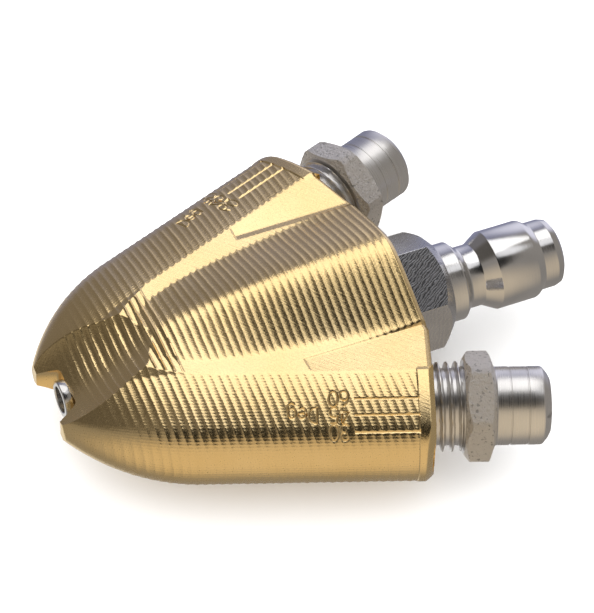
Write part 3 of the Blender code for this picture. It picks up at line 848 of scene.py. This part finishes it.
# ---------------------------------------------------------------- stage, lights, camera
SOFTBOX_PLACE, SOFTBOX_AIM = (-0.405, 0.19, 0.90), (0, 0, 0.01)     # metres
SOFTBOX_SIZE, SOFTBOX_TURN = (0.84, 0.76), -25.0                    # metres, degrees
SOFTBOX_POWER, SOFTBOX_COLOUR = 2.6, (0.98, 0.98, 1.0)
EVEN_LIGHT = (1.9, 1.9, 1.9, 1)
ROOM = (0.30, 0.28, 0.26, 1)
ROOM_PATCHES = [   # direction, outer and inner half angle in degrees, colour; later ones on top
    ((-0.957, 0.277, -0.06), 60, 25, (0.27, 0.28, 0.40, 1)),
    ((-0.70, 0.70, 0.10), 34, 12, (0.90, 0.90, 1.05, 1)),
    ((-0.88, -0.35, 0.25), 34, 12, (0.20, 0.19, 0.20, 1)),
    ((-0.35, -0.55, 0.72), 34, 16, (0.11, 0.10, 0.09, 1)),
    ((0.95, -0.30, -0.10), 70, 12, (0.74, 0.62, 0.46, 1)),
    ((-0.615, -0.277, -0.738), 30, 15, (0.85, 0.84, 0.82, 1)),
    ((0.42, 0.0, 0.91), 30, 20, (0.02, 0.02, 0.02, 1)),
    ((0.08, 0.40, 0.91), 13, 6, (1.05, 1.05, 1.08, 1)),
]


def make_floor():
    """A pale matt floor that the metal does not mirror."""
    n = Nodes("pale_floor")
    n.shader.inputs["Roughness"].default_value = 0.9
    n.shader.inputs["Specular IOR Level"].default_value = 0.1
    speck = n.noise(n.place(), 40.0)
    n.put(n.mix(speck, (0.93, 0.93, 0.93, 1), (0.96, 0.96, 0.96, 1)), n.shader.inputs["Base Color"])
    floor = mesh_object("floor", [(-1500, -1500, 0), (1500, -1500, 0), (1500, 1500, 0),
                                  (-1500, 1500, 0)], [(0, 1, 2, 3)], n.material)
    floor.visible_glossy = False


def make_softbox():
    """One broad lamp above the far side, aimed at the object."""
    data = bpy.data.lights.new("softbox", "AREA")
    data.shape = "RECTANGLE"
    data.size, data.size_y = SOFTBOX_SIZE
    data.energy = SOFTBOX_POWER
    data.color = SOFTBOX_COLOUR
    light = bpy.data.objects.new("softbox", data)
    light.location = SOFTBOX_PLACE
    aim = Vector(SOFTBOX_AIM) - Vector(SOFTBOX_PLACE)
    light.rotation_euler = aim.to_track_quat("-Z", "Y").to_euler()
    bpy.context.scene.collection.objects.link(light)
    light.rotation_euler.rotate_axis("Z", math.radians(SOFTBOX_TURN))
    light.visible_diffuse = False     # the floor gets its light evenly, from the world


def soft_mask(tree, direction, centre, outer, inner):
    """1 within inner degrees of centre, falling smoothly to 0 at outer degrees."""
    dot = tree.nodes.new("ShaderNodeVectorMath")
    dot.operation = "DOT_PRODUCT"
    dot.inputs[1].default_value = Vector(centre).normalized()
    tree.links.new(direction, dot.inputs[0])
    fall = tree.nodes.new("ShaderNodeMapRange")
    fall.interpolation_type = "SMOOTHSTEP"
    fall.inputs["From Min"].default_value = math.cos(math.radians(outer))
    fall.inputs["From Max"].default_value = math.cos(math.radians(inner))
    tree.links.new(dot.outputs["Value"], fall.inputs["Value"])
    return fall.outputs[0]


def make_world():
    """Even light for what is matt; metal mirrors a dim room with soft bright and dark patches."""
    world = bpy.data.worlds.new("studio")
    bpy.context.scene.world = world
    world.use_nodes = True
    world.cycles.sampling_method = "NONE"     # so that only what a mirror sees depends on the ray
    tree = world.node_tree
    direction = tree.nodes.new("ShaderNodeTexCoord").outputs["Generated"]

    room = ROOM
    for centre, outer, inner, colour in ROOM_PATCHES:
        room = mix_colours(tree, soft_mask(tree, direction, centre, outer, inner), room, colour)
    mirrored = tree.nodes.new("ShaderNodeLightPath").outputs["Is Glossy Ray"]
    tree.links.new(mix_colours(tree, mirrored, EVEN_LIGHT, room), tree.nodes["Background"].inputs[0])


def make_camera():
    """The photograph's view: a long lens half a metre away, looking down at the near side."""
    data = bpy.data.cameras.new("camera")
    data.sensor_width = 36.0
    data.lens = 190.8
    data.shift_x, data.shift_y = 0.0021, 0.0028
    data.clip_end = 10.0
    camera = bpy.data.objects.new("camera", data)
    right = Vector((0.39166, 0.91993, 0.01837))
    forward = Vector((-0.61513, 0.27664, -0.7383))
    up = right.cross(forward)
    camera.matrix_world = Matrix.Translation((0.30096, -0.13716, 0.37776)) @ Matrix(
        (right, up, -forward)).transposed().to_4x4()
    bpy.context.scene.collection.objects.link(camera)
    bpy.context.scene.camera = camera


def main():
    materials = {
        "left": turned_steel("left_jet_steel", (0.78, 0.765, 0.745, 1), 0.24, 0.38, -SPLAY),
        "right": turned_steel("right_jet_steel", (0.78, 0.765, 0.745, 1), 0.24, 0.38, SPLAY),
        "hex": cast_steel("jet_hex_steel", (0.82, 0.79, 0.75, 1)),
        "plug": turned_steel("plug_steel", (0.74, 0.73, 0.72, 1), 0.09, 0.17),
        "plug_hex": milled_steel("plug_hex_steel", (0.60, 0.60, 0.62, 1)),
        "front": turned_steel("nose_jet_steel", (0.66, 0.65, 0.63, 1), 0.14, 0.22),
    }
    make_body(brass_material())
    make_plug(materials)
    make_front_jet(materials)
    for label, side in (("left", 1), ("right", -1)):
        make_rear_jet(label, side, materials)
    finish_cad_nodes(tape_material(), materials["front"])
    make_floor()
    make_softbox()
    make_world()
    make_camera()
    bpy.context.scene.view_settings.view_transform = "Standard"


main()
